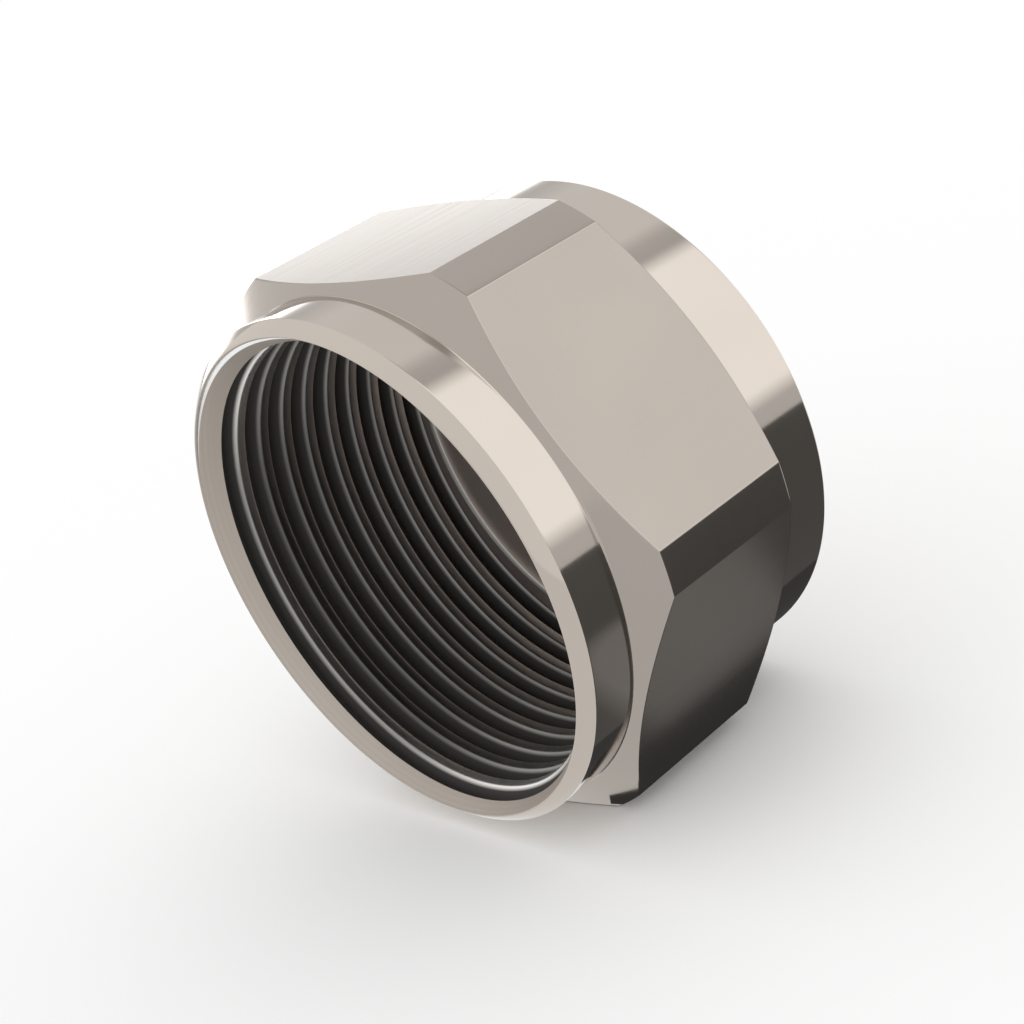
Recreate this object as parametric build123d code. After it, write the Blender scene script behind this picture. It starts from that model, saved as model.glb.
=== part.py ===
from build123d import *
import math
import os

# A one-piece threaded protection cap, turned from hexagon bar.
# It lies on one flat, as it comes to rest on a bench: Z is up, the mouth looks along -Y,
# and the origin is on that surface, under the middle of the cap.
# It is modelled standing on its closed end, mouth up, and laid down at the end.

# Driving dimensions, in millimetres and degrees

# The hexagon, with its corners turned to a cylinder and coned at both ends
across_flats = 36.0
corner_diameter = 40.0
hex_length = 13.8  # between the feet of the two cones
cone_angle = 30.0  # from the plane across the axis

# The round collar at the mouth
front_collar_diameter = 34.8
front_collar_length = 4.0  # from the lip's face to the foot of the cone
lip_chamfer = 0.75

# The round collar at the closed end
rear_collar_diameter = 34.4
rear_collar_length = 5.0
rear_edge_chamfer = 0.3

# The blind hole, bored to the thread's minor diameter and countersunk
bore_diameter = 31.2
bore_depth = 19.2
countersink_diameter = 33.1
countersink_angle = 60.0  # included

# The internal thread: metric, 33 mm nominal, right-hand, milled with a round cutter
thread_diameter = 33.0
thread_pitch = 2.0
thread_angle = 60.0  # between the flanks
thread_depth = 18.3  # from the mouth to the middle of the groove's deep end
thread_start_angle = 153.0  # where the groove meets the mouth, from +X towards +Z
cutter_radius = 10.0
cutter_play = 0.05  # how much the cutter opens the groove where it leaves it

# Worked out from the values above
flat_height = across_flats / 2
corner_radius = corner_diameter / 2
front_collar_radius = front_collar_diameter / 2
rear_collar_radius = rear_collar_diameter / 2
bore_radius = bore_diameter / 2
countersink_radius = countersink_diameter / 2
thread_radius = thread_diameter / 2
cap_length = front_collar_length + hex_length + rear_collar_length
groove_bottom = cap_length - thread_depth
groove_end_angle = thread_start_angle - 360 * thread_depth / thread_pitch

# How far the cutting sections reach into the open bore, so that no faces lie on each other
groove_reach = 0.2


def cone_rise(collar_radius):
    """Length along the axis of the cone between a collar and the hexagon's corners."""
    return (corner_radius - collar_radius) * math.tan(math.radians(cone_angle))


def half_plane(outline):
    """The face inside a closed outline of (radius, height) points."""
    return make_face(Polyline(*[(radius, 0, height) for radius, height in outline], close=True))


def turned(outline):
    """Turns an outline round the axis."""
    return revolve(half_plane(outline), Axis.Z)


def circles_at(solid, radius, height):
    """The turned edges of one radius at one height."""
    centre = Vector(0, 0, height)
    return [
        edge
        for edge in solid.edges().filter_by(GeomType.CIRCLE)
        if abs(edge.radius - radius) < 0.001 and (edge.arc_center - centre).length < 0.001
    ]


def turned_blank():
    """The outside as the lathe leaves it: two collars and the coned band."""
    rear_foot = rear_collar_length
    front_foot = cap_length - front_collar_length
    blank = turned(
        [
            (0, 0),
            (rear_collar_radius, 0),
            (rear_collar_radius, rear_foot),
            (corner_radius, rear_foot + cone_rise(rear_collar_radius)),
            (corner_radius, front_foot - cone_rise(front_collar_radius)),
            (front_collar_radius, front_foot),
            (front_collar_radius, cap_length),
            (0, cap_length),
        ]
    )
    blank = chamfer(circles_at(blank, rear_collar_radius, 0), rear_edge_chamfer)
    return chamfer(circles_at(blank, front_collar_radius, cap_length), lip_chamfer)


def hexagon_bar():
    """The bar that the cap is turned from, with two flats facing up and down once it lies."""
    return extrude(RegularPolygon(flat_height, 6, major_radius=False), cap_length)


def bore():
    """The blind hole with the countersink at its mouth."""
    floor = cap_length - bore_depth
    countersink_depth = (countersink_radius - bore_radius) / math.tan(math.radians(countersink_angle / 2))
    return turned(
        [
            (0, floor),
            (bore_radius, floor),
            (bore_radius, cap_length - countersink_depth),
            (countersink_radius, cap_length),
            (0, cap_length),
        ]
    )


def groove_section(root_radius, play=0.0):
    """One thread groove: a trapezoid with a flat root an eighth of the pitch wide."""
    depth = thread_radius - bore_radius + groove_reach
    half_root = thread_pitch / 16 + play
    half_mouth = half_root + depth * math.tan(math.radians(thread_angle / 2))
    return half_plane(
        [
            (root_radius - depth, -half_mouth),
            (root_radius + play, -half_root),
            (root_radius + play, half_root),
            (root_radius - depth, half_mouth),
        ]
    )


def thread_turns():
    """The helical groove as single turns end to end, from its deep end to past the mouth."""
    path = Helix(thread_pitch, thread_pitch, thread_radius)
    turn = sweep(groove_section(thread_radius), path, is_frenet=True).rotate(Axis.Z, groove_end_angle)
    count = math.ceil(thread_depth / thread_pitch + 0.5)
    return [turn.translate((0, 0, groove_bottom + thread_pitch * i)) for i in range(count)]


def cutter_exit():
    """The round pocket that the thread cutter leaves as it backs out of the groove's deep end."""
    disc = revolve(groove_section(cutter_radius, cutter_play), Axis.Z)
    disc = disc.translate((thread_radius - cutter_radius, 0, groove_bottom))
    return disc.rotate(Axis.Z, groove_end_angle)


def standing_cap():
    """The whole cap, mouth up."""
    cap = turned_blank() & hexagon_bar() - bore()
    for turn in thread_turns():
        cap -= turn
    return cap - cutter_exit()


def laid_on_a_flat(solid):
    """Turns the mouth from +Z to -Y and sets the lowest flat on the ground."""
    return solid.rotate(Axis.X, 90).translate((0, cap_length / 2, flat_height))


os.makedirs("parts", exist_ok=True)
export_step(laid_on_a_flat(standing_cap()), "parts/cap.step")
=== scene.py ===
# %% [markdown]
# This lesson dresses one machined part, a threaded protection cap.
# It is a short metal cap turned from hexagon bar. It has a round collar at each end, a coned
# hexagon band for the spanner, and a threaded blind hole that looks towards -Y.
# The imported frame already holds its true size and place. Everything below is built to those.

# %% Load the frame and note its box
import math

import bmesh
import bpy
from mathutils import Euler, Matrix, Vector


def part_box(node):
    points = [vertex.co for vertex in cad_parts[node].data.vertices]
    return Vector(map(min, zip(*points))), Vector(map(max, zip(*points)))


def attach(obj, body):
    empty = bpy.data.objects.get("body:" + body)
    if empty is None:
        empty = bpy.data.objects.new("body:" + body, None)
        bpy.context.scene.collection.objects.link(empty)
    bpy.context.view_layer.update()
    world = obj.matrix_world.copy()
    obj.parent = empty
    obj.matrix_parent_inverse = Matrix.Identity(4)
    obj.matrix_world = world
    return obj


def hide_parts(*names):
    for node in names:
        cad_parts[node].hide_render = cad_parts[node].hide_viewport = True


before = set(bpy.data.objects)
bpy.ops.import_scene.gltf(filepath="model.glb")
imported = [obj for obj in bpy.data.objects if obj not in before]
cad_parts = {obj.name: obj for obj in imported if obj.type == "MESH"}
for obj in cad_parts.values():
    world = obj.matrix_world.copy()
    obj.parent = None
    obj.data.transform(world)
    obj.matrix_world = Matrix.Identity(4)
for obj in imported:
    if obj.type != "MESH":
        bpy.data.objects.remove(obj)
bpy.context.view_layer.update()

for name in ("Cube", "Light", "Camera"):
    if name in bpy.data.objects:
        bpy.data.objects.remove(bpy.data.objects[name])

mm = 0.001
low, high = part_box("cap")
length = high.y - low.y
across_flats = high.z - low.z
corner_diameter = high.x - low.x
print("the cap measures", [round(size / mm, 2) for size in high - low], "mm")

# %% [markdown]
# Blender's operators act on whatever is selected, and the loaded frame comes in selected.
# So the first helpers empty the selection, take one piece, and open it for editing with
# nothing selected. One more prints a piece's faces and size, to follow how it grows.
# The cap is modelled standing on its closed end, mouth up, and is laid down at the end.

# %% Helpers for working by hand
def deselect_all():
    """Leaves nothing selected."""
    if bpy.context.mode != "OBJECT":
        bpy.ops.object.mode_set(mode="OBJECT")
    bpy.ops.object.select_all(action="DESELECT")


def take(piece):
    """Makes one piece the selected and active one."""
    deselect_all()
    piece.select_set(True)
    bpy.context.view_layer.objects.active = piece


def name_new(name):
    """Names the primitive that was just added, and its mesh."""
    piece = bpy.context.object
    piece.name = name
    piece.data.name = name
    return piece


def settle(piece):
    """Bakes a piece's place, turn and scale into its mesh."""
    take(piece)
    bpy.ops.object.transform_apply(location=True, rotation=True, scale=True)


def edit(piece, kind):
    """Opens a piece in edit mode with nothing selected. kind is VERT, EDGE or FACE."""
    take(piece)
    bpy.ops.object.mode_set(mode="EDIT")
    bpy.ops.mesh.select_mode(type=kind)
    bpy.ops.mesh.select_all(action="DESELECT")


def done():
    """Back to object mode."""
    bpy.ops.object.mode_set(mode="OBJECT")


def say(piece):
    """Prints a piece's faces and size."""
    size = [round(side / mm, 2) for side in piece.dimensions]
    print(piece.name, "has", len(piece.data.polygons), "faces and measures", size, "mm")


# %% [markdown]
# A lathe makes every round form of this cap, so the blank starts as a cylinder of the rear
# collar's size. Its top face is then pulled up in steps, as a turner works along the bar:
# each step extrudes that face and scales it to the next radius. A drawn outline spun round
# the axis would give the same form. The extrusion is chosen because each step is one turned
# face, so it reads like the drawing.
# The two cones rise at 30 degrees from the plane across the axis.

# %% Turn the blank
around = 240  # sides of every round form
same_height = 0.01 * mm
facing_up = 0.9  # of a normal's Z
front_radius = 34.8 * mm / 2
rear_radius = 34.4 * mm / 2
corner_radius = corner_diameter / 2
front_collar_length = 4.0 * mm
rear_collar_length = 5.0 * mm
cone_angle = math.radians(30)
rear_cone = (corner_radius - rear_radius) * math.tan(cone_angle)
front_cone = (corner_radius - front_radius) * math.tan(cone_angle)
front_foot = length - front_collar_length


def round_bar(name, radius, bottom, top, sides=around):
    """A closed cylinder on the axis between two heights."""
    deselect_all()
    bpy.ops.mesh.primitive_cylinder_add(
        vertices=sides, radius=radius, depth=top - bottom, location=(0, 0, (bottom + top) / 2)
    )
    piece = name_new(name)
    settle(piece)
    return piece


def pull_top(piece, steps):
    """Extrudes the top face to each (height, radius) in turn."""
    end = max(vertex.co.z for vertex in piece.data.vertices)
    rim = [vertex for vertex in piece.data.vertices if end - vertex.co.z < same_height]
    radius = max(vertex.co.xy.length for vertex in rim)
    edit(piece, "FACE")
    mesh = bmesh.from_edit_mesh(piece.data)
    for face in mesh.faces:
        face.select_set(face.normal.z > facing_up)
    bmesh.update_edit_mesh(piece.data)
    for height, new_radius in steps:
        bpy.ops.mesh.extrude_region_move(TRANSFORM_OT_translate={"value": (0, 0, height - end)})
        grow = new_radius / radius
        bpy.ops.transform.resize(value=(grow, grow, 1), center_override=(0, 0, height))
        end, radius = height, new_radius
    done()


cap = round_bar("threaded_cap", rear_radius, 0, rear_collar_length)
pull_top(
    cap,
    [
        (rear_collar_length + rear_cone, corner_radius),
        (front_foot - front_cone, corner_radius),
        (front_foot, front_radius),
        (length, front_radius),
    ],
)
say(cap)

# %% [markdown]
# The rear edge and the lip carry a flat chamfer, so that the cap starts easily in the hand
# and has no sharp rim. Where a collar meets its cone, the lathe tool's round nose leaves a
# small fillet. Both are bevels of one edge loop: one segment for a chamfer, several for a
# round. The loop is found by its height and radius, so the order of the work stays free.

# %% Chamfer the rims and round the feet
rear_chamfer = 0.3 * mm
lip_chamfer = 0.75 * mm
foot_round = 0.25 * mm
foot_offset = foot_round * math.tan((math.pi / 2 - cone_angle) / 2)
foot_segments = 6
on_the_loop = 0.03 * mm  # how far a vertex may be off it


def bevel_loop(piece, radius, height, offset, segments):
    """Bevels the turned edge of one radius and height. Returns how many sides it has."""
    edit(piece, "EDGE")
    mesh = bmesh.from_edit_mesh(piece.data)
    count = 0
    for edge in mesh.edges:
        off = [max(abs(v.co.z - height), abs(v.co.xy.length - radius)) for v in edge.verts]
        if max(off) < on_the_loop:
            edge.select_set(True)
            count += 1
    bmesh.update_edit_mesh(piece.data)
    bpy.ops.mesh.bevel(offset=offset, offset_type="OFFSET", segments=segments, affect="EDGES")
    done()
    return count


print("rear edge:", bevel_loop(cap, rear_radius, 0, rear_chamfer, 1), "sides")
print("lip:", bevel_loop(cap, front_radius, length, lip_chamfer, 1), "sides")
print("rear foot:", bevel_loop(cap, rear_radius, rear_collar_length, foot_offset, foot_segments), "sides")
print("front foot:", bevel_loop(cap, front_radius, front_foot, foot_offset, foot_segments), "sides")
say(cap)

# %% [markdown]
# The spanner flats belong to the bar that the cap is turned from. What the lathe leaves of
# the bar is what the turned blank and a hexagon prism share, so the two are intersected.
# That draws the curved line between each flat and its cone by itself, as on the real part.
# The prism has two flats square to Y, which face up and down once the cap lies.

# %% Keep what the blank shares with the hexagon bar
bar_overlength = 2 * mm
half_side_angle = math.pi / 6


def apply_modifier(piece, kind, **settings):
    """Adds one modifier, sets it and applies it."""
    take(piece)
    modifier = piece.modifiers.new(kind.lower(), kind)
    for setting, value in settings.items():
        setattr(modifier, setting, value)
    bpy.ops.object.modifier_apply(modifier=modifier.name)


def cut(piece, tool, operation="DIFFERENCE"):
    """Cuts one solid with another, or keeps what they share, and clears the tool away."""
    apply_modifier(piece, "BOOLEAN", operation=operation, object=tool, solver="EXACT")
    bpy.data.objects.remove(tool)


hexagon_radius = across_flats / 2 / math.cos(half_side_angle)
hexagon = round_bar("hexagon_bar", hexagon_radius, -bar_overlength, length + bar_overlength, sides=6)
hexagon.rotation_euler.z = half_side_angle
settle(hexagon)
cut(cap, hexagon, "INTERSECT")
say(cap)

# %% [markdown]
# Every outer edge of a real part is broken by a hair, and that hair catches the light as a
# thin line. A bevel modifier does it on all edges that turn by more than twenty degrees, so
# the fine sides of the round faces are left alone. It comes before the bore, because the
# thread's own edges are drawn in its section.

# %% Break the outer edges
edge_round = 0.07 * mm
edge_segments = 2
sharp_above = math.radians(20)
apply_modifier(
    cap,
    "BEVEL",
    width=edge_round,
    segments=edge_segments,
    limit_method="ANGLE",
    angle_limit=sharp_above,
    harden_normals=False,
)
say(cap)

# %% [markdown]
# The blind hole is bored to the thread's inner diameter and countersunk at the mouth, so that
# the first thread isn't raised at the rim. The tool is a cylinder of that size. Its top end is
# pulled out into the countersink's cone, a little past the mouth for a clean cut, and its
# bottom edge has the boring tool's small corner round.

# %% Bore and countersink the hole
bore_radius = 31.2 * mm / 2
bore_depth = 19.2 * mm
bore_corner_round = 0.3 * mm
bore_corner_segments = 4
countersink_radius = 33.1 * mm / 2
countersink_half_angle = math.radians(30)
countersink_depth = (countersink_radius - bore_radius) / math.tan(countersink_half_angle)
overcut = 0.2 * mm

floor_height = length - bore_depth
bore_tool = round_bar("bore_tool", bore_radius, floor_height, length - countersink_depth)
over_radius = countersink_radius + overcut * math.tan(countersink_half_angle)
pull_top(bore_tool, [(length + overcut, over_radius)])
bevel_loop(bore_tool, bore_radius, floor_height, bore_corner_round, bore_corner_segments)
cut(cap, bore_tool)
say(cap)

# %% [markdown]
# The thread is a 33 x 2 mm one. Its groove has two flanks at 30 degrees and a flat root an
# eighth of the pitch wide. The crests between the turns of the groove are slightly round, as
# threading and plating leave them, and those rounds are what shines in the dark bore.
# So the section isn't a plain trapezoid: near the bore's wall each flank bends in small steps
# towards the wall, and then runs straight into the open bore, where nothing is cut. Each bend
# is an angle from the wall and the number of steps that keep it.
# The outline starts as a circle of as many vertices as it needs, which are then put in place.

# %% Draw the groove's section
thread_radius = 33.0 * mm / 2
thread_pitch = 2.0 * mm
half_root = thread_pitch / 16
flank_angle = math.radians(30)
crest_rise = thread_radius - bore_radius
crest_round = 0.25 * mm
crest_bends = [(48, 1), (36, 1), (24, 1), (14, 2)]
turn_by_step = math.radians(12)  # from one bend to the next
crest_step = 2 * crest_round * math.sin(turn_by_step / 2)


def groove_side(root_radius, play):
    """(radius, height) points from the root up one flank, round the crest and into the bore."""
    bends = []
    for turn, steps in crest_bends:
        reach = steps * crest_step
        bends.append((reach * math.sin(math.radians(turn)), reach * math.cos(math.radians(turn))))
    radius, height = root_radius + play, half_root + play
    points = [(radius, height)]
    flank_end = root_radius - crest_rise + sum(fall for fall, _ in bends) - bends[-1][0] / 2
    height += (radius - flank_end) * math.tan(flank_angle)
    radius = flank_end
    points.append((radius, height))
    for fall, rise in bends:
        radius -= fall
        height += rise
        points.append((radius, height))
    points.append((root_radius - crest_rise - overcut, height))
    return points


def groove_section(name, root_radius, play=0.0):
    """The groove's section as a closed ring of edges in the XZ plane, at height zero."""
    upper = groove_side(root_radius, play)
    outline = upper + [(radius, -height) for radius, height in reversed(upper)]
    deselect_all()
    bpy.ops.mesh.primitive_circle_add(vertices=len(outline), radius=thread_radius, fill_type="NOTHING")
    piece = name_new(name)
    for vertex, (radius, height) in zip(piece.data.vertices, outline):
        vertex.co = (radius, 0, height)
    return piece


coil = groove_section("thread_coil", thread_radius)
print("the section has", len(coil.data.vertices), "corners")

# %% [markdown]
# A Screw modifier carries the section round the axis and up, which is just what the threading
# tool does. The thread is right-handed, as on nearly every cap, so a turn raises the section
# by one pitch. The coil starts near the bore's floor and runs out past the mouth. Its open
# ends are filled, and it is cut from the cap, so that the crests that stay are real ones.

# %% Cut the thread
thread_depth = 18.3 * mm
thread_start_angle = math.radians(153)
groove_bottom = length - thread_depth
groove_end_angle = thread_start_angle - 2 * math.pi * thread_depth / thread_pitch
run_out = 0.5  # turns past the mouth, at least
thread_turns = math.ceil(thread_depth / thread_pitch + run_out)
merge_within = 0.001 * mm


def wind(piece, turns, rise, steps):
    """Carries a section round the Z axis, and up by the rise in each turn, then closes it."""
    apply_modifier(
        piece,
        "SCREW",
        axis="Z",
        angle=2 * math.pi * turns,
        screw_offset=rise * turns,
        steps=steps * turns,
        render_steps=steps * turns,
        use_merge_vertices=rise == 0,
        merge_threshold=merge_within,
    )
    edit(piece, "EDGE")
    bpy.ops.mesh.select_non_manifold(extend=False)
    if any(edge.select for edge in bmesh.from_edit_mesh(piece.data).edges):
        bpy.ops.mesh.edge_face_add()
    bpy.ops.mesh.select_all(action="SELECT")
    bpy.ops.mesh.normals_make_consistent(inside=False)
    done()


def put(piece, shift, turn):
    """Moves a tool by a shift, then turns it round the bore's axis."""
    piece.rotation_euler.z = turn
    piece.location = Euler((0, 0, turn)).to_matrix() @ Vector(shift)
    settle(piece)


wind(coil, thread_turns, thread_pitch, around)
put(coil, (0, 0, groove_bottom), groove_end_angle)
say(coil)
cut(cap, coil)
say(cap)

# %% [markdown]
# A blind thread like this one is milled with a small round cutter, which has to back out at
# the deep end. There it leaves a shallow round pocket of the groove's own section. The same
# section, wound once round the cutter's own axis without rising, makes that pocket.

# %% Cut the cutter's way out
cutter_radius = 10.0 * mm
cutter_play = 0.05 * mm
cutter_steps = 144
exit_ring = groove_section("cutter_exit", cutter_radius, cutter_play)
wind(exit_ring, 1, 0, cutter_steps)
put(exit_ring, (thread_radius - cutter_radius, 0, groove_bottom), groove_end_angle)
say(exit_ring)
cut(cap, exit_ring)
say(cap)

# %% [markdown]
# Exact cuts can leave a few slivers where two cuts meet. They hold no form, so corners that
# lie within half a micrometre of each other are joined. A corner between just two edges that
# run on almost straight is taken out as well, and the cap is then checked for open edges.

# %% Clear the slivers
def open_edges(piece):
    """How many edges don't have exactly two faces."""
    mesh = bmesh.new()
    mesh.from_mesh(piece.data)
    count = sum(not edge.is_manifold for edge in mesh.edges)
    mesh.free()
    return count


same_corner = 0.0005 * mm
almost_straight = math.radians(1)
edit(cap, "VERT")
bpy.ops.mesh.select_all(action="SELECT")
bpy.ops.mesh.dissolve_degenerate(threshold=same_corner)
bpy.ops.mesh.select_all(action="DESELECT")
mesh = bmesh.from_edit_mesh(cap.data)
for vertex in mesh.verts:
    if len(vertex.link_edges) == 2 and vertex.calc_edge_angle() < almost_straight:
        vertex.select_set(True)
bmesh.update_edit_mesh(cap.data)
bpy.ops.mesh.dissolve_verts()
done()
print("open edges:", open_edges(cap))
say(cap)

# %% [markdown]
# The finished cap is laid on one flat, mouth towards -Y, just where the frame holds it. It
# replaces the plain CAD node of the same name, and rides on the same body.

# %% Lay the cap on a flat
cap.rotation_euler.x = math.pi / 2
cap.location = (0, (low.y + high.y) / 2 + length / 2, across_flats / 2)
settle(cap)
say(cap)

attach(cap, "root")
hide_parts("cap")

# %% [markdown]
# The real cap is steel with a thin nickel plating, a slightly warm grey. Bare metal has hardly
# any look of its own: it shows the room, tinted by its colour and blurred by its fine tool
# lines. So each finish below is full metal, and they differ in tint, roughness and the way
# their lines run. A material is a small web of nodes. The first helpers open an empty one,
# close it with a shader, and add one maths step.

# %% Open and close a material
def new_material(name):
    """An empty node material. Returns it with its nodes and links."""
    material = bpy.data.materials.new(name)
    material.use_nodes = True
    material.node_tree.nodes.clear()
    return material, material.node_tree.nodes, material.node_tree.links


def end_in(nodes, links, shader_output):
    """Ends a material in one shader."""
    output = nodes.new("ShaderNodeOutputMaterial")
    links.new(shader_output, output.inputs["Surface"])


def math_node(nodes, links, operation, *values):
    """One maths step. Each value is a number or another node's output."""
    node = nodes.new("ShaderNodeMath")
    node.operation = operation
    for socket, value in zip(node.inputs, values):
        if isinstance(value, (int, float)):
            socket.default_value = value
        else:
            links.new(value, socket)
    return node.outputs[0]


# %% [markdown]
# The next helpers add one node each too: soft noise, a range that a value is mapped onto, a
# blend of two colours, and a ramp of grey levels. The recipes further down stay short with
# them. Image textures could do the same, but they would have to be drawn and unwrapped first.

# %% Noise, ranges, blends and ramps
def noise(nodes, links, vector, scale, detail=2.0):
    """Soft noise along a vector, mostly from 0.3 to 0.7."""
    node = nodes.new("ShaderNodeTexNoise")
    node.inputs["Scale"].default_value = scale
    node.inputs["Detail"].default_value = detail
    links.new(vector, node.inputs["Vector"])
    return node.outputs["Fac"]


def spread(nodes, links, value, low_end, high_end, low_in=0.3, high_in=0.7):
    """Maps a value onto a range, and holds it there outside the range."""
    node = nodes.new("ShaderNodeMapRange")
    node.inputs["From Min"].default_value = low_in
    node.inputs["From Max"].default_value = high_in
    node.inputs["To Min"].default_value = low_end
    node.inputs["To Max"].default_value = high_end
    links.new(value, node.inputs["Value"])
    return node.outputs["Result"]


def blend(nodes, links, share, first, second, kind="MIX"):
    """Blends two colours by a share. Each is a colour or another node's output."""
    node = nodes.new("ShaderNodeMix")
    node.data_type = "RGBA"
    node.blend_type = kind
    for socket_name, value in (("Factor", share), ("A", first), ("B", second)):
        socket = node.inputs[socket_name]
        if isinstance(value, tuple):
            socket.default_value = (*value, 1)
        elif isinstance(value, float):
            socket.default_value = value
        else:
            links.new(value, socket)
    return node.outputs["Result"]


def ramp_by(nodes, links, value, stops):
    """A ramp of grey levels along a value. stops is a list of (position, level)."""
    node = nodes.new("ShaderNodeValToRGB")
    elements = node.color_ramp.elements
    while len(elements) < len(stops):
        elements.new(0.5)
    for element, (position, level) in zip(elements, stops):
        element.position = position
        element.color = (level, level, level, 1)
    links.new(value, node.inputs["Fac"])
    return node.outputs["Color"]


# %% [markdown]
# Finishes on a turned part depend on two measures only: how far along the axis a point lies,
# and how far from it. Both come from the point's own coordinates on the cap, so they stay
# with the cap wherever it goes.

# %% Find the point on the cap
def places(nodes, links):
    """The point on the cap: its vector, its Y, and its distance from the bore's axis."""
    place = nodes.new("ShaderNodeTexCoord").outputs["Object"]
    parts = nodes.new("ShaderNodeSeparateXYZ")
    links.new(place, parts.inputs[0])
    rise = math_node(nodes, links, "SUBTRACT", parts.outputs["Z"], across_flats / 2)
    square = math_node(nodes, links, "MULTIPLY", rise, rise)
    total = math_node(nodes, links, "MULTIPLY_ADD", parts.outputs["X"], parts.outputs["X"], square)
    return place, parts.outputs["Y"], math_node(nodes, links, "SQRT", total)


# %% [markdown]
# A lathe leaves lines that run round the axis, so their noise is laid along the axis and along
# the distance from it. A drawn bar's lines run along the bar, so its noise is stretched that
# way. Real lines this fine could never be modelled: they are parts of a micrometre deep.

# %% Draw the tool lines
um = 0.001 * mm
line_detail = 3.0
drawn_stretch = 0.02


def tool_lines(nodes, links, lines, scale, place, along, away):
    """Fine noise whose lines run as a lathe or a drawing die leaves them."""
    if lines == "turned":
        track = nodes.new("ShaderNodeCombineXYZ")
        links.new(along, track.inputs["X"])
        links.new(away, track.inputs["Y"])
    else:
        track = nodes.new("ShaderNodeMapping")
        track.inputs["Scale"].default_value = (1, drawn_stretch, 1)
        links.new(place, track.inputs["Vector"])
    return noise(nodes, links, track.outputs[0], scale, line_detail)


# %% [markdown]
# Only the crests of the thread are bright. Shade is painted into its roots: the tint falls to a
# dark grey there, and the roughness grows with the depth of the groove. The photograph also
# shows the crests dim just behind the mouth and brighter further in, and brighter again where
# they are seen at a slant. A ramp down the bore paints that light and shade into the tint, and
# a layer weight paints a sheen that lightens the tint at a slant.

# %% Paint light and shade into the thread
mouth = -length / 2
back = length / 2
crest_line = (bore_radius + 0.05 * mm, bore_radius + 0.32 * mm)
roots_begin = (mouth + 0.7 * mm, mouth + 1.2 * mm)
roots_roughness = 0.8
# Painted light down the bore, as (depth behind the mouth, tint level), and a painted sheen that lightens
# the tint where the thread is seen at a slant.
painted_light_down_bore = [(2.7 * mm, 0.68), (3.9 * mm, 0.23), (18 * mm, 0.48)]
painted_slant_sheen = 4.4
slanted_between = (0.17, 0.57)  # of a layer weight's facing


def paint_thread_light_and_shade(nodes, links, tint, rough, painted_root_shade, along, away):
    """Paints light and shade into the thread's tint: dimmer behind the mouth, a sheen at a slant, and
    painted shade in the roots, which are rougher too. Returns tint and roughness.
    """
    depth = spread(nodes, links, along, 0, 1, mouth, mouth + bore_depth)
    stops = [(behind / bore_depth, level) for behind, level in painted_light_down_bore]
    tint = blend(nodes, links, 1.0, tint, ramp_by(nodes, links, depth, stops), "MULTIPLY")
    # A painted sheen: the tint is lightened where the surface is seen at a slant.
    facing = nodes.new("ShaderNodeLayerWeight").outputs["Facing"]
    gain = spread(nodes, links, facing, 1, painted_slant_sheen, *slanted_between)
    tint = blend(nodes, links, 1.0, tint, gain, "MULTIPLY")
    into = spread(nodes, links, away, 0, 1, *crest_line)
    inside = spread(nodes, links, along, 0, 1, *roots_begin)
    rooted = math_node(nodes, links, "MULTIPLY", into, inside)
    # Painted shade: the roots take the dark tint.
    tint = blend(nodes, links, rooted, tint, painted_root_shade)
    root_rough = spread(nodes, links, rooted, 0, roots_roughness, 0, 1)
    return tint, math_node(nodes, links, "MAXIMUM", rough, root_rough)


# %% [markdown]
# One recipe makes all the finishes: full metal, whose tint drifts a little across the cap and
# whose gloss varies by a tenth along the tool lines. The same lines tilt the surface as a fine
# bump. Separate materials built by hand would look alike at first and then drift apart.

# %% Mix the plated metal
drift_scale = 90
tint_drift = 0.025
gloss_drift = 0.1


def metal(name, colour, roughness, lines="turned", line_depth=0.05 * um, grain_scale=4000, painted_root_shade=None):
    """Plated metal. The last argument is the dark tint painted into the roots of the thread as shade, for
    the finish that has one.
    """
    material, nodes, links = new_material(name)
    place, along, away = places(nodes, links)
    grain = tool_lines(nodes, links, lines, grain_scale, place, along, away)
    drift = spread(nodes, links, noise(nodes, links, place, drift_scale), 0, 1)
    dark = tuple(value * (1 - tint_drift) for value in colour)
    light = tuple(min(1, value * (1 + tint_drift)) for value in colour)
    tint = blend(nodes, links, drift, dark, light)
    rough = spread(nodes, links, grain, roughness * (1 - gloss_drift), roughness * (1 + gloss_drift))
    # Painted light and shade in the thread: dark roots, dimmer crests behind the mouth, and a sheen at a
    # slant.
    if painted_root_shade:
        tint, rough = paint_thread_light_and_shade(nodes, links, tint, rough, painted_root_shade, along, away)
    shader = nodes.new("ShaderNodeBsdfPrincipled")
    shader.inputs["Metallic"].default_value = 1.0
    links.new(tint, shader.inputs["Base Color"])
    links.new(rough, shader.inputs["Roughness"])
    bump = nodes.new("ShaderNodeBump")
    bump.inputs["Strength"].default_value = 1.0
    bump.inputs["Distance"].default_value = line_depth
    links.new(grain, bump.inputs["Height"])
    links.new(bump.outputs[0], shader.inputs["Normal"])
    end_in(nodes, links, shader.outputs[0])
    return material


# %% [markdown]
# The collars are turned last and with care, so they are nearly a mirror. The coned band and the
# bar's own flats are rougher, and their tint is darkened with painted shade. The countersink at
# the mouth is the roughest face, and the end face shows the rings of a facing cut. Both carry a
# little painted shade in their tint as well. The bore's tint is darker still: painted shade in
# the hole, and a warm brown on its floor that is a painted reflection of the walls round it.

# %% Choose the finishes
plating = (0.555, 0.50, 0.445)


def shade(level):
    """The plating's tint darkened to a share of its brightness, as painted shade."""
    return tuple(level * value for value in plating)


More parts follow.
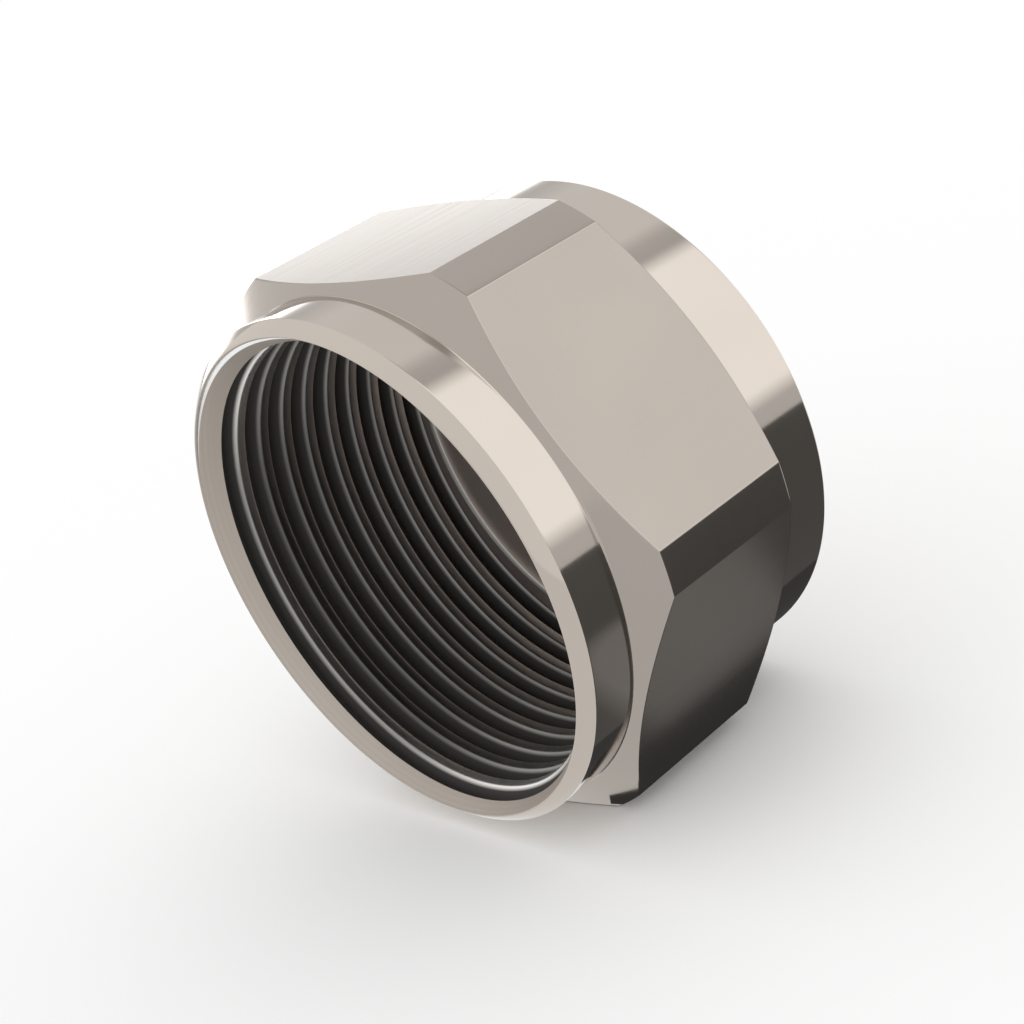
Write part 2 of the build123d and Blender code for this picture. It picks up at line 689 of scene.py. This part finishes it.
# The band, flats, countersink and end face take the plating darkened with painted shade.
finishes = [
    metal("turned_collars", plating, 0.08),
    metal("turned_band", shade(0.75), 0.16),
    metal("drawn_flats", shade(0.69), 0.24, "drawn", 0.01 * um, 2500),
    metal("mouth_cone", shade(0.97), 0.6),
    # The bore's darker grey is painted shade in the hole, and the floor's warm brown is a painted
    # reflection of the walls.
    metal("thread_and_bore", (0.44, 0.43, 0.41), 0.32, painted_root_shade=(0.10, 0.094, 0.088)),
    metal("bore_floor", (0.50, 0.43, 0.40), 0.5),
    metal("faced_end", shade(0.92), 0.16, line_depth=0.3 * um, grain_scale=2200),
]
print("finishes:", [finish.name for finish in finishes])

# %% [markdown]
# Each face gets its finish by where it lies and which way it looks, as a maker would point it
# out. Picking the faces by hand would work only once. Tests on place and normal stay right if
# a size of the cap is changed. Three of them tell apart what a single measure can't.

# %% Tell the faces apart
near = 0.05 * mm
hole_outwards = 0.2  # a face of the hole looks outwards less than this
cone_inwards = 0.85  # and one of the countersink looks inwards more than this
same_lean = 0.02
side_angle = 60  # degrees
same_turn = 0.05  # degrees
level_lean = 0.001
flat_area = 20 * mm * mm


def in_the_hole(along, away, outwards):
    """Whether a face belongs to the bore, the thread or the countersink."""
    within = away < thread_radius + near / 2 and along < back - mm
    return within and (outwards < hole_outwards or along > 0)


def on_the_countersink(normal, along, away, outwards):
    """Whether a face of the hole belongs to the cone at its mouth."""
    leaning = abs(normal.y + math.sin(countersink_half_angle)) < same_lean
    placed = away > bore_radius + near / 2 and along < mouth + countersink_depth
    return leaning and outwards < -cone_inwards and placed


def on_a_flat(face):
    """Whether a face is one of the six flats: large, level along the axis, square to a side."""
    turn = math.degrees(math.atan2(face.normal.z, face.normal.x)) - side_angle / 2
    square = abs(turn - side_angle * round(turn / side_angle)) < same_turn
    return square and abs(face.normal.y) < level_lean and face.area > flat_area


# %% [markdown]
# The order of the questions matters, because each may count on the earlier ones having said
# no: the hole comes first, then the end face, the six flats, the band between the collars, and
# the collars as the rest.

# %% Give each face its finish
square_on = 0.99  # a normal's share along the axis, from which a face looks that way


def finish_of(mesh, face):
    """The name of the finish that a face has."""
    points = [mesh.vertices[index].co for index in face.vertices]
    away = sum(math.hypot(point.x, point.z - across_flats / 2) for point in points) / len(points)
    along = sum(point.y for point in points) / len(points)
    normal, centre = face.normal, face.center
    outwards = (normal.x * centre.x + normal.z * (centre.z - across_flats / 2)) / max(away, mm)
    if in_the_hole(along, away, outwards):
        if on_the_countersink(normal, along, away, outwards):
            return "mouth_cone"
        return "bore_floor" if normal.y < -square_on and along > 0 else "thread_and_bore"
    if normal.y > square_on:
        return "faced_end"
    if on_a_flat(face):
        return "drawn_flats"
    if mouth + front_collar_length - near < along < back - rear_collar_length + near:
        return "turned_band"
    return "turned_collars"


cap.data.materials.clear()
for finish in finishes:
    cap.data.materials.append(finish)
order = [finish.name for finish in finishes]
counts = dict.fromkeys(order, 0)
for face in cap.data.polygons:
    name = finish_of(cap.data, face)
    face.material_index = order.index(name)
    counts[name] += 1
print("faces of each finish:", counts)

# %% [markdown]
# The round faces are made of narrow flat sides. Smooth shading hides them wherever two sides
# turn by less than fifteen degrees, and keeps every real edge. Weighted normals then let the
# large faces rule at the small rounds, so that flats and cones reflect evenly to their rims.

# %% Smooth the round faces
smooth_below = math.radians(15)
large_face_weight = 60
take(cap)
bpy.ops.object.shade_smooth_by_angle(angle=smooth_below)
apply_modifier(cap, "WEIGHTED_NORMAL", keep_sharp=True, weight=large_face_weight)
print("one side of the round faces turns", 360 / around, "degrees")

# %% [markdown]
# Bright metal shows what stands round it, so the stage is set as for a product photograph: a
# white room, a pale floor, and a tent and cards that only reflections see. They put no more
# light on the cap. The tent is half a tube over the cap, along its axis. On the right its
# cloth is bright up to a soft seam, which gives the collars their broad white stripe with a
# hard lower edge. On the left a dim strip lies above a bright one, which lights the top flat.
# A tube suits a round part: each level on it becomes a stripe along the whole collar. The
# levels are given by the angle round the tube, in degrees from the right-hand foot, and are
# slanted a little along the axis, as the stripe's edges in the photograph are.

# %% Hang the light tent
tent_radius = 170 * mm
tent_front = -10 * mm
tent_rear = 420 * mm
tent_sides = 96
tent_peak = 3.0  # above the brightest level
tent_slant = math.radians(3.5) / (58 * mm)  # an angle for each metre
slant_middle = 105 * mm
tent_levels = [
    (-10, 0.70),
    (-2, 0.70),
    (5, 1.42),
    (70, 1.42),
    (77, 0.60),
    (84, 0.66),
    (91, 0.92),
    (134, 0.88),
    (151, 0.66),
    (156, 0.76),
    (160, 1.85),
    (166, 2.8),
    (176, 2.9),
    (190, 2.2),
]


def glow_through(nodes, links, colour, strength=1.0):
    """Ends a material in a glow of that colour."""
    glow = nodes.new("ShaderNodeEmission")
    glow.inputs["Strength"].default_value = strength
    links.new(colour, glow.inputs["Color"])
    end_in(nodes, links, glow.outputs["Emission"])


def only_in_reflections(card):
    """Makes a stage piece that the metal reflects and nothing else sees."""
    for ray in ("camera", "diffuse", "transmission", "volume_scatter", "shadow"):
        setattr(card, "visible_" + ray, False)


def tent_cloth():
    """The tent's levels by the angle round the tube, slanted along it."""
    material, nodes, links = new_material("tent_cloth")
    parts = nodes.new("ShaderNodeSeparateXYZ")
    links.new(nodes.new("ShaderNodeTexCoord").outputs["Object"], parts.inputs[0])
    rise = math_node(nodes, links, "SUBTRACT", parts.outputs["Z"], across_flats / 2)
    angle = math_node(nodes, links, "ARCTAN2", rise, parts.outputs["X"])
    behind = math_node(nodes, links, "SUBTRACT", parts.outputs["Y"], slant_middle)
    slant = math_node(nodes, links, "MULTIPLY", behind, tent_slant)
    slanted = math_node(nodes, links, "ADD", angle, slant)
    first, last = tent_levels[0][0], tent_levels[-1][0]
    share = spread(nodes, links, slanted, 0, 1, math.radians(first), math.radians(last))
    stops = [((turn - first) / (last - first), level / tent_peak) for turn, level in tent_levels]
    glow_through(nodes, links, ramp_by(nodes, links, share, stops), tent_peak)
    return material


deselect_all()
bpy.ops.mesh.primitive_cylinder_add(
    vertices=tent_sides,
    radius=tent_radius,
    depth=tent_rear - tent_front,
    end_fill_type="NOTHING",
    location=(0, (tent_rear + tent_front) / 2, across_flats / 2),
    rotation=(math.pi / 2, 0, 0),
)
tent = name_new("light_tent")
settle(tent)
edit(tent, "FACE")
bpy.ops.mesh.select_all(action="SELECT")
bpy.ops.mesh.bisect(plane_co=(0, 0, 0), plane_no=(0, 0, 1), clear_inner=True)
done()
tent.data.materials.append(tent_cloth())
only_in_reflections(tent)
say(tent)

# %% [markdown]
# What lies on the floor gives the lower half of the cap its greys. A dark card beside the cap
# makes the deep lower side of the collars, and has one soft lighter patch close to the cap,
# which the lower flat shows. A black card takes over close to the cap, and a foot card of the
# same cloth goes on under it, from a little further back, so that the foot of the front cone
# still sees the light card in front of the mouth. Beyond the dark card lies a mid grey one,
# the plateau below the white stripe. Each cloth glows at its own plain level instead of being
# lit, so that it looks the same to the metal wherever it lies.

# %% Paint the cards' cloths
patch_place = (19 * mm, 6 * mm, 0)
patch_reach = (18 * mm, 10.5 * mm, 10 * mm)
patch_levels = [(0, 0.10), (0.12, 0.11), (0.35, 0.23), (1, 0.25)]


def plain_glow(name, level):
    """A glow of one grey level."""
    material, nodes, links = new_material(name)
    glow = nodes.new("ShaderNodeEmission")
    glow.inputs["Color"].default_value = (level, level, level, 1)
    end_in(nodes, links, glow.outputs["Emission"])
    return material


def patched_glow(name, levels):
    """A dark glow with one soft patch. levels run from far away to the patch's middle."""
    material, nodes, links = new_material(name)
    shift = nodes.new("ShaderNodeMapping")
    shift.vector_type = "TEXTURE"
    shift.inputs["Location"].default_value = patch_place
    shift.inputs["Scale"].default_value = patch_reach
    links.new(nodes.new("ShaderNodeTexCoord").outputs["Object"], shift.inputs["Vector"])
    spot = nodes.new("ShaderNodeTexGradient")
    spot.gradient_type = "SPHERICAL"
    links.new(shift.outputs[0], spot.inputs["Vector"])
    glow_through(nodes, links, ramp_by(nodes, links, spot.outputs["Fac"], levels))
    return material


grey_cloth = plain_glow("grey_card", 0.70)
dark_cloth = patched_glow("dark_card", patch_levels)
black_cloth = plain_glow("black_card", 0.055)
front_cloth = plain_glow("front_card", 0.87)
print("cloths:", [cloth.name for cloth in (grey_cloth, dark_cloth, black_cloth, front_cloth)])

# %% [markdown]
# The cards lie on the floor as thin sheets, one a hair above the other, because real cards on
# a table overlap in that way. Each starts as a plain rectangle. The dark card's far edge is
# slanted, and behind the cap the dark ones are cut off along another slanted line, so that the
# end face still sees the white floor. A cut with a plane makes both edges.

# %% Lay the cards
dark_far_azimuth = math.radians(43)
dark_far_distance = 126.5 * mm
rear_line_azimuth = math.radians(-35)
rear_line_distance = 18 * mm

# Each row has a name, a cloth, the near left and the far right corner in millimetres, and a lift.
card_rows = [
    ("grey_card", grey_cloth, (60, -6.7), (400, 400), 0.10 * mm),
    ("dark_card", dark_cloth, (10.8, -6.7), (400, 400), 0.20 * mm),
    ("black_card", black_cloth, (8.4, -6.7), (13.5, 60), 0.30 * mm),
    ("foot_card", black_cloth, (-4, -5.9), (8.4, 60), 0.30 * mm),
    ("front_card", front_cloth, (-170, -190), (80, -5.95), 0.15 * mm),
]


def card_between(name, cloth, low_corner, high_corner, lift):
    """A card on the floor between two corners, given in millimetres."""
    centre = [(a + b) / 2 * mm for a, b in zip(low_corner, high_corner)]
    size = [(b - a) * mm for a, b in zip(low_corner, high_corner)]
    deselect_all()
    bpy.ops.mesh.primitive_plane_add(size=1, location=(*centre, lift))
    card = name_new(name)
    card.scale = (*size, 1)
    settle(card)
    card.data.materials.append(cloth)
    only_in_reflections(card)
    return card


def trim(card, azimuth, distance):
    """Cuts off what lies past a line, given by its azimuth from +Y and its distance."""
    way = Vector((math.sin(azimuth), math.cos(azimuth), 0))
    edit(card, "FACE")
    bpy.ops.mesh.select_all(action="SELECT")
    bpy.ops.mesh.bisect(plane_co=way * distance, plane_no=way, clear_outer=True)
    done()


cards = {row[0]: card_between(*row) for row in card_rows}
trim(cards["dark_card"], dark_far_azimuth, dark_far_distance)
for name in ("dark_card", "black_card", "foot_card"):
    trim(cards[name], rear_line_azimuth, rear_line_distance)
for card in cards.values():
    say(card)

# %% [markdown]
# The floor is a wide plane of nearly white paint, and the room is plain white from all sides,
# so a colour renders about as it is written and the shadow is soft. Such a floor would come
# out a touch grey. Eyes, cameras and mirrors see it with a slight glow of its own, just
# enough to make it white, and the cap's shadow stays on it. The cap isn't lit by that glow.

# %% Lay the floor and light the room
floor_side = 4  # metres
floor_white = 0.97


def floor_paint():
    """Nearly white paint, with the glow that cameras and mirrors see."""
    material, nodes, links = new_material("pale_floor")
    paint = nodes.new("ShaderNodeBsdfDiffuse")
    paint.inputs["Color"].default_value = (floor_white, floor_white, floor_white, 1)
    glow = nodes.new("ShaderNodeEmission")
    glow.inputs["Strength"].default_value = 1 - floor_white
    lit = nodes.new("ShaderNodeAddShader")
    links.new(paint.outputs[0], lit.inputs[0])
    links.new(glow.outputs[0], lit.inputs[1])
    rays = nodes.new("ShaderNodeLightPath")
    seen = math_node(nodes, links, "MAXIMUM", rays.outputs["Is Camera Ray"], rays.outputs["Is Glossy Ray"])
    seen = math_node(nodes, links, "MAXIMUM", seen, rays.outputs["Is Transmission Ray"])
    either = nodes.new("ShaderNodeMixShader")
    links.new(seen, either.inputs[0])
    links.new(paint.outputs[0], either.inputs[1])
    links.new(lit.outputs[0], either.inputs[2])
    end_in(nodes, links, either.outputs[0])
    return material


deselect_all()
bpy.ops.mesh.primitive_plane_add(size=floor_side, location=(0, 0, 0))
floor = name_new("floor")
floor.data.materials.append(floor_paint())
say(floor)

world = bpy.data.worlds.new("white_room")
bpy.context.scene.world = world
world.use_nodes = True
room = world.node_tree.nodes["Background"]
room.inputs["Color"].default_value = (1, 1, 1, 1)
room.inputs["Strength"].default_value = 1.0

# %% [markdown]
# The camera stands where the photograph was taken from: to the right of the mouth, a little
# above the cap, close enough that the mouth looks larger than the closed end. It is tilted by
# nearly twenty degrees, because the photographed cap is turned in its picture. The values come
# from fitting the cap's own edges to those in the photograph.

# %% Place the camera
camera_place = Vector((90.585, -66.903, 60.696)) * mm
camera_azimuth = math.radians(53.377)
camera_elevation = math.radians(21.264)
camera_roll = math.radians(-19.470)
camera_lens = 66.031
camera_sensor = 36

deselect_all()
bpy.ops.object.camera_add(location=camera_place)
camera = name_new("photo_camera")
aim = Euler((math.pi / 2 - camera_elevation, 0, camera_azimuth)).to_matrix()
roll = Euler((0, 0, camera_roll)).to_matrix()
camera.rotation_euler = (aim @ roll).to_euler()
camera.data.sensor_width = camera_sensor
camera.data.lens = camera_lens
camera.data.clip_start = 1 * mm
bpy.context.scene.camera = camera
bpy.context.scene.view_settings.view_transform = "Standard"
print("the camera is", round(camera_place.length / mm), "mm from the cap's foot")
